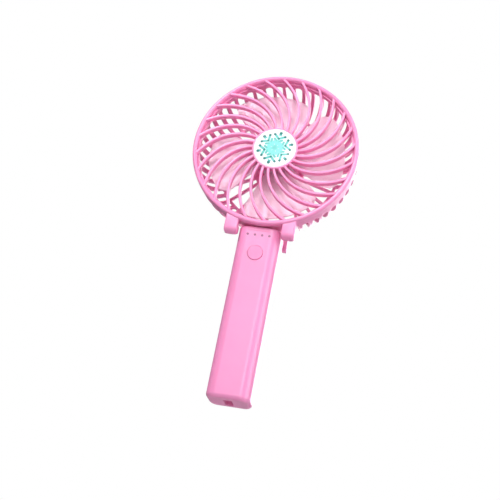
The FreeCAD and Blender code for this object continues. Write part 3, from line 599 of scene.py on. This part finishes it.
def oval_lengths(steps=200):
    """Distance along the oval at each of its steps."""
    lengths = [0.0]
    for k in range(steps):
        a, b = Vector(bowl_point(k / steps)), Vector(bowl_point((k + 1) / steps))
        lengths.append(lengths[-1] + (b - a).length)
    return lengths


OVAL = oval_lengths()


def shell_line(s):
    """(radius, depth) on the outside, at a distance along it from the front edge."""
    straight = BOWL_Y - SHELL_FRONT
    if s <= straight:
        return SHELL_R, SHELL_FRONT + s
    past = s - straight
    if past >= OVAL[-1]:
        return BOWL_R - (past - OVAL[-1]), SHELL_BACK
    k = next(i for i, length in enumerate(OVAL) if length > past)
    share = (k - 1 + (past - OVAL[k - 1]) / (OVAL[k] - OVAL[k - 1])) / (len(OVAL) - 1)
    return bowl_point(share)


def along_shell(test):
    """Shortest distance along the outside, in tenths, where a test of (radius, depth) holds."""
    return next(k / 10 for k in range(1000) if test(*shell_line(k / 10)))


def span(start, end, steps):
    return [start + (end - start) * k / steps for k in range(steps + 1)]


def round_end(start, radius, way, steps=5):
    """Distances from a slot's tip to its full width, close together at the tip."""
    return [start + way * radius * (1 - math.cos(math.pi / 2 * k / steps)) for k in range(steps + 1)]


def slot_half(s, ends, widths):
    """Half width of a slot with round ends at a distance s along it."""
    first, last = widths[0] / 2, widths[1] / 2
    if not ends[0] < s < ends[1]:
        return 0.0
    share = (s - ends[0]) / (ends[1] - ends[0])
    half = first + (last - first) * share
    for end, radius in ((s - ends[0], first), (ends[1] - s, last)):
        if end < radius:
            half = min(half, math.sqrt(max(0.0, radius ** 2 - (radius - end) ** 2)))
    return half


def bar_rows(stations, line, pitch, half_gap, columns, centre):
    """Rows of points across one bar: as wide as its pitch, less half a gap on each side."""
    rows = []
    for s in stations:
        r, y = line(s)
        half = pitch / 2 - math.atan2(half_gap(s), r)
        angles = [centre + half * (2 * c / columns - 1) for c in range(columns + 1)]
        rows.append([point(r * math.cos(a), y, r * math.sin(a)) for a in angles])
    return rows


def wall_strips(ring_s):
    """The two bars of one sector's wall, each with half a slot on both sides, out to the back ring."""
    wall_ends = (along_shell(lambda r, y: y >= SLOT_START_Y), along_shell(lambda r, y: r <= SLOT_END_R))
    widths = (SLOT_W, SLOT_END_W)
    stations = span(0.0, wall_ends[0], 2)[:-1] + round_end(wall_ends[0], SLOT_W / 2, 1)
    stations += span(wall_ends[0] + SLOT_W / 2, wall_ends[1] - SLOT_END_W / 2, 20)[1:-1]
    stations += round_end(wall_ends[1], SLOT_END_W / 2, -1)[::-1] + [ring_s]
    wall = bmesh.new()
    for centre in (-PITCH / 4, PITCH / 4):
        rows = bar_rows(stations, shell_line, PITCH / 2, lambda s: slot_half(s, wall_ends, widths), 4, centre)
        wall = joined([wall, skin(rows, close_ring=False, cap=False)])
    return wall


def back_strip(ring_s):
    """One sector of the back: part of the ring, a spoke and a wedge of the middle disc."""
    ring_r, ring_y = shell_line(ring_s)

    def back_line(s):
        r = ring_r - s
        return r, ring_y + (SHELL_BACK - ring_y) * min(1.0, s / (ring_r - RING_R))

    def back_gap(s):
        r = ring_r - s
        if not DISC_R < r < RING_R:
            return 0.0
        return r * math.tan(PITCH / 2) - SPOKE_W / 2
    inside, reach, step = ring_r - RING_R, ring_r - DISC_R, 0.001
    stations = [0.0, inside, inside + step] + span(inside + 0.6, reach - 0.6, 8)
    stations += [reach - step, reach] + span(reach, ring_r - step, 5)[1:]
    return skin(bar_rows(stations, back_line, PITCH, back_gap, 8, -PITCH / 4), close_ring=False, cap=False)


def make_shell():
    """One sector as a thin sheet, repeated round the axis, then given its wall and eased edges."""
    ring_s = along_shell(lambda r, y: r <= RING_MIDDLE_R)
    sector = joined([wall_strips(ring_s), back_strip(ring_s)])
    bmesh.ops.remove_doubles(sector, verts=sector.verts, dist=2e-6)
    shell = placed("shell_wall", sector, PINK_SHELL, 40)
    round_the_axis(shell, SECTORS, SPOKE_TURN_DEG + math.degrees(PITCH / 4))
    sheet = bmesh.new()
    sheet.from_mesh(shell.data)
    bmesh.ops.remove_doubles(sheet, verts=sheet.verts, dist=3e-6)
    bmesh.ops.dissolve_degenerate(sheet, edges=sheet.edges, dist=1e-6)
    sheet.faces.ensure_lookup_table()
    middle = Vector((0, 0, HEAD_Z * MM))
    inward = [f for f in sheet.faces if f.normal.dot(f.calc_center_median() - middle) < 0]
    bmesh.ops.reverse_faces(sheet, faces=inward)
    sheet.to_mesh(shell.data)
    sheet.free()
    wall = shell.modifiers.new("wall", "SOLIDIFY")
    wall.thickness = SHELL_WALL * MM
    wall.offset = -1.0
    wall.use_even_offset = True
    eased(shell, 0.35, 2, 50)
    return settled(shell, 40)


def make_lug():
    """Right foot: a rounded toe under the rim, its top following the shell's curve."""
    middle_x, middle_y, toe_r, bottom, side_r = 18.1, -10.7, 3.7, 104.2, 2.0
    half_x, toe_z, straight_z, top_r = 4.2, bottom + toe_r, 111.0, SHELL_R - 1
    heights = [bottom + toe_r * (1 - math.cos(math.pi / 2 * k / 6)) for k in range(7)] + [straight_z, None]
    rings = []
    for z in heights:
        low = z is not None and z < toe_z
        half_y = max(0.9, math.sqrt(max(0.0, toe_r ** 2 - (toe_z - z) ** 2))) if low else toe_r
        side = 0.0
        if low and z < bottom + side_r:
            side = side_r - math.sqrt(max(0.0, side_r ** 2 - (side_r - (z - bottom)) ** 2))
        x, y, corner = half_x - side, half_y, min(0.9, half_y * 0.8)
        outline = rounded([(-x, -y, corner), (x, -y, corner), (x, y, corner), (-x, y, corner)])
        top = [HEAD_Z - math.sqrt(top_r ** 2 - (middle_x + a) ** 2) for a, b in outline]
        rings.append([point(middle_x + a, middle_y + b, top[i] if z is None else z)
                      for i, (a, b) in enumerate(outline)])
    return tidy(skin(rings))


def make_ear():
    """Right hinge ear: a flat plate from the round eye up into the shell."""
    eye_r, plate_x = 3.7, (12.1, 14.9)
    outline = [(PIVOT.y + eye_r * math.cos(math.radians(d)), PIVOT.z + eye_r * math.sin(math.radians(d)))
               for d in range(-185, 11, 15)]
    outline += [(13.9, 123.0), (11.2, 121.1), (8.4, 118.7)]
    return slab(outline, plate_x)


def make_motor_mount():
    """Cup behind the motor with a screw post on each side."""
    front_y, back_y, post_x = 6.0, 16.4, 15.9
    cup_r, post_r = (12.3, 14.0), (0.85, 2.4)
    cup = [(cup_r[0], front_y, 0.2), (cup_r[1], front_y, 0.3), (cup_r[1], back_y, 0), (cup_r[0], back_y, 0)]
    post = [(post_r[0], front_y, 0.1), (post_r[1], front_y, 0.3), (post_r[1], back_y, 0),
            (post_r[0], back_y, 0)]
    posts = [lathe(rounded(post), 28, (x, HEAD_Z)) for x in (-post_x, post_x)]
    return joined([lathe(rounded(cup), 96)] + posts)


def finish_shell():
    """Shell, feet, ears and motor mount as the one moulding that they are."""
    shell = make_shell()
    fittings = placed("fittings", mirrored(joined([make_lug(), make_ear()])), PINK_SHELL)
    settled(eased(fittings, 0.45, 3, 50))
    whole = make_motor_mount()
    whole.from_mesh(shell.data)
    whole.from_mesh(fittings.data)
    bpy.data.objects.remove(fittings)
    bpy.data.objects.remove(shell)
    housing = placed("rear_housing", whole, PINK_SHELL, 40)
    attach(housing, "head")
    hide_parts("rear_shell")


make_guard()
make_badge()
make_crystal()
finish_shell()


# ---- impeller ----
BLADE_COUNT = 4
BLADE_TURN_DEG = 13.0
BLADE_TIP = 44.3
BLADE_ROOT = 12.2
BLADE_HALF = math.radians(38.0)
BLADE_CORNER = 9.5
BLADE_T = 1.1
BLADE_CAMBER = 1.5
BLADE_MIDDLE_Y = (-3.8, 1.5)        # middle line's depth at the root, and how much deeper at the tip
BLADE_RISE = (4.1, 1.9)             # half the twist's depth at the root, and how much more at the tip
ROTOR_HUB_R = 13.0


def make_blades():
    """One twisted, cambered petal, repeated round the axis."""
    round_rows = [BLADE_TIP - BLADE_CORNER * (1 - math.sin(math.pi / 2 * k / 7)) for k in range(8)]
    rows = []
    for r in span(BLADE_ROOT, BLADE_TIP - BLADE_CORNER, 12)[:-1] + round_rows:
        past = max(0.0, r - (BLADE_TIP - BLADE_CORNER))
        cut = (BLADE_CORNER - math.sqrt(max(0.0, BLADE_CORNER ** 2 - past ** 2))) / BLADE_TIP
        half = BLADE_HALF - cut
        row = []
        for c in range(17):
            a = half * (c / 8 - 1)
            tilt = math.sin(a) / (math.cos(a) * 0.8 + 1.0 / r)
            share = min(1.0, max(0.0, (r * math.cos(a) - ROTOR_HUB_R) / 12.0))
            middle = BLADE_MIDDLE_Y[0] + BLADE_MIDDLE_Y[1] * share
            rise = BLADE_RISE[0] + BLADE_RISE[1] * share
            y = middle - rise * tilt - BLADE_CAMBER * (1 - tilt ** 2)
            row.append(point(r * math.cos(a), y, r * math.sin(a)))
        rows.append(row)
    blade = placed("blades", skin(rows, close_ring=False, cap=False), BLADE_PINK, 60)
    wall = blade.modifiers.new("thickness", "SOLIDIFY")
    wall.thickness = BLADE_T * MM
    wall.offset = 0.0
    eased(blade, 0.3, 2, 50)
    return round_the_axis(settled(blade, 60), BLADE_COUNT, BLADE_TURN_DEG, 60)


def make_impeller():
    blades = make_blades()
    front_y, floor_y, back_y, boss_end_y = -9.2, -7.8, 1.6, 0.4
    inner_r, boss_r = 11.6, 3.2
    hub = [(0, front_y, 0), (ROTOR_HUB_R, front_y, 1.6), (ROTOR_HUB_R, back_y, 0.3), (inner_r, back_y, 0.3),
           (inner_r, floor_y, 0.6), (boss_r, floor_y, 0.3), (boss_r, boss_end_y, 0.3), (0, boss_end_y, 0)]
    whole = lathe(rounded(hub), 96)
    whole.from_mesh(blades.data)
    bpy.data.objects.remove(blades)
    impeller = placed("fan_wheel", whole, BLADE_PINK, 45)
    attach(impeller, "rotor")
    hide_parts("impeller")


make_impeller()


# ---- outer moulded pieces kept to the frame's own shapes ----
def refined(node, name, body, material, width):
    """Copy of a frame piece, merged and with its edges eased."""
    mesh = bmesh.new()
    mesh.from_mesh(NODES[node].data)
    bmesh.ops.remove_doubles(mesh, verts=mesh.verts, dist=2e-6)
    bmesh.ops.dissolve_limit(mesh, angle_limit=math.radians(1.0), verts=mesh.verts, edges=mesh.edges)
    piece = placed(name, mesh, material, 35)
    eased(piece, width, 2, 30)
    flats = piece.modifiers.new("flat faces stay flat", "WEIGHTED_NORMAL")
    flats.keep_sharp = True
    flats.weight = 100
    settled(piece, None)
    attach(piece, body)
    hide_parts(node)


for node, name, body, material, width in (
        ("handle_front", "front_housing", "handle", PINK_SHELL, 0.12),
        ("handle_rear", "back_housing", "handle", PINK_SHELL, 0.12),
        ("end_cap", "end_plate", "handle", PINK_SHELL, 0.1),
        ("battery_door", "battery_cover", "door", PINK_SHELL, 0.12)):
    refined(node, name, body, material, width)
refined("power_button", "push_button", "button", PINK_BUTTON, 0.15)
refined("light_pipes", "light_rods", "handle", LIGHT_LENS, 0.1)


# ---- stage, lights and camera ----
GLOW_SHARE = 0.7            # how much of the floor's look is its own, so that it stays pale from any side
GIVE_BACK_CUT = 0.35        # how much less light it gives back than its colour would


def pale(name, colour):
    """Plain pale surface that gives little light back to what stands over it."""
    material = bpy.data.materials.new(name)
    material.use_nodes = True
    nodes, links = material.node_tree.nodes, material.node_tree.links
    shader = nodes["Principled BSDF"]
    shader.inputs["Roughness"].default_value = 0.9
    cloud = nodes.new("ShaderNodeTexNoise")
    cloud.inputs["Scale"].default_value = 3.0
    ramp = nodes.new("ShaderNodeValToRGB")
    ramp.color_ramp.elements[0].color = colour
    ramp.color_ramp.elements[1].color = tuple(min(1.0, c * 1.03) for c in colour)
    links.new(cloud.outputs[0], ramp.inputs[0])
    dim = nodes.new("ShaderNodeMix")
    dim.data_type = "RGBA"
    dim.inputs[0].default_value = GIVE_BACK_CUT
    dim.inputs[7].default_value = (0, 0, 0, 1)
    links.new(ramp.outputs[0], dim.inputs[6])
    links.new(dim.outputs[2], shader.inputs["Base Color"])
    glow = nodes.new("ShaderNodeEmission")
    links.new(ramp.outputs[0], glow.inputs["Color"])
    path = nodes.new("ShaderNodeLightPath")
    share = nodes.new("ShaderNodeMath")
    share.operation = "MULTIPLY"
    share.inputs[1].default_value = GLOW_SHARE
    links.new(path.outputs["Is Camera Ray"], share.inputs[0])
    mix = nodes.new("ShaderNodeMixShader")
    links.new(share.outputs[0], mix.inputs[0])
    links.new(shader.outputs[0], mix.inputs[1])
    links.new(glow.outputs[0], mix.inputs[2])
    links.new(mix.outputs[0], nodes["Material Output"].inputs["Surface"])
    return material


def make_floor():
    """Wide floor, well below the fan because the camera looks up from under it."""
    mesh = bmesh.new()
    bmesh.ops.create_grid(mesh, x_segments=8, y_segments=8, size=3.0)
    bmesh.ops.translate(mesh, verts=mesh.verts, vec=(0, 0, -0.3))
    floor = placed("floor", mesh, pale("pale_floor", (0.86, 0.86, 0.87, 1)))


def make_world(to_camera, to_object):
    """Plain bright backdrop; on the object it is dimmer, from a strength below to one above."""
    world = bpy.data.worlds.new("studio")
    bpy.context.scene.world = world
    world.use_nodes = True
    nodes, links = world.node_tree.nodes, world.node_tree.links
    shown_sky = nodes["Background"]
    shown_sky.inputs["Color"].default_value = (1, 1, 1, 1)
    shown_sky.inputs["Strength"].default_value = to_camera
    lit_sky = nodes.new("ShaderNodeBackground")
    place = nodes.new("ShaderNodeTexCoord")
    parts = nodes.new("ShaderNodeSeparateXYZ")
    fall = nodes.new("ShaderNodeMapRange")
    fall.inputs["From Min"].default_value = -0.5
    fall.inputs["From Max"].default_value = 0.9
    fall.inputs["To Min"].default_value = to_object[0]
    fall.inputs["To Max"].default_value = to_object[1]
    links.new(place.outputs["Generated"], parts.inputs[0])
    links.new(parts.outputs["Z"], fall.inputs["Value"])
    links.new(fall.outputs[0], lit_sky.inputs["Strength"])
    path = nodes.new("ShaderNodeLightPath")
    seen = nodes.new("ShaderNodeMath")
    seen.operation = "MAXIMUM"
    links.new(path.outputs["Is Camera Ray"], seen.inputs[0])
    links.new(path.outputs["Is Transmission Ray"], seen.inputs[1])
    mix = nodes.new("ShaderNodeMixShader")
    links.new(seen.outputs[0], mix.inputs[0])
    links.new(lit_sky.outputs[0], mix.inputs[1])
    links.new(shown_sky.outputs[0], mix.inputs[2])
    links.new(mix.outputs[0], nodes["World Output"].inputs["Surface"])


def softbox(name, way, distance, size, power, aim):
    """Square light facing a point from some way off."""
    light = bpy.data.lights.new(name, "AREA")
    light.shape = "RECTANGLE"
    light.size, light.size_y = size
    light.energy = power
    box = bpy.data.objects.new(name, light)
    bpy.context.scene.collection.objects.link(box)
    way = Vector(way).normalized()
    box.location = aim + way * distance
    box.rotation_euler = way.to_track_quat("Z", "Y").to_euler()


def make_camera():
    """Low in front and a little to the right, tipped over to its side."""
    turn, rise, tip = math.radians(11.3755), math.radians(-21.3624), math.radians(11.4379)
    distance, lens, sensor = 0.650, 76.12, 36.0
    target = point(-2.68, -15.2, 93.08)
    away = Vector((math.sin(turn) * math.cos(rise), -math.cos(turn) * math.cos(rise), math.sin(rise)))
    right = Vector((math.cos(turn), math.sin(turn), 0))
    up = away.cross(right)
    tipped_right = right * math.cos(tip) + up * math.sin(tip)
    tipped_up = up * math.cos(tip) - right * math.sin(tip)
    camera = bpy.data.objects.new("camera", bpy.data.cameras.new("camera"))
    camera.data.lens = lens
    camera.data.sensor_width = sensor
    camera.data.clip_start = 0.01
    place = Matrix((tipped_right, tipped_up, away)).transposed().to_4x4()
    place.translation = target + away * distance
    camera.matrix_world = place
    bpy.context.scene.collection.objects.link(camera)
    bpy.context.scene.camera = camera


make_floor()
make_world(1.0, (0.08, 0.20))
AIM = point(0, 0, 120)
softbox("key_right", (0.92, -0.22, 0.32), 0.8, (0.5, 0.9), 5.8, AIM)
softbox("front_fill", (0.10, -1.0, 0.30), 1.2, (0.6, 0.6), 6.2, AIM)
softbox("back_glow", (0.1, 1.0, 0.35), 1.0, (0.8, 0.8), 8.0, AIM)
softbox("key_top_left", (-0.42, -0.75, 0.70), 0.95, (0.22, 0.22), 6.5, AIM)
make_camera()
bpy.context.scene.view_settings.view_transform = "Standard"
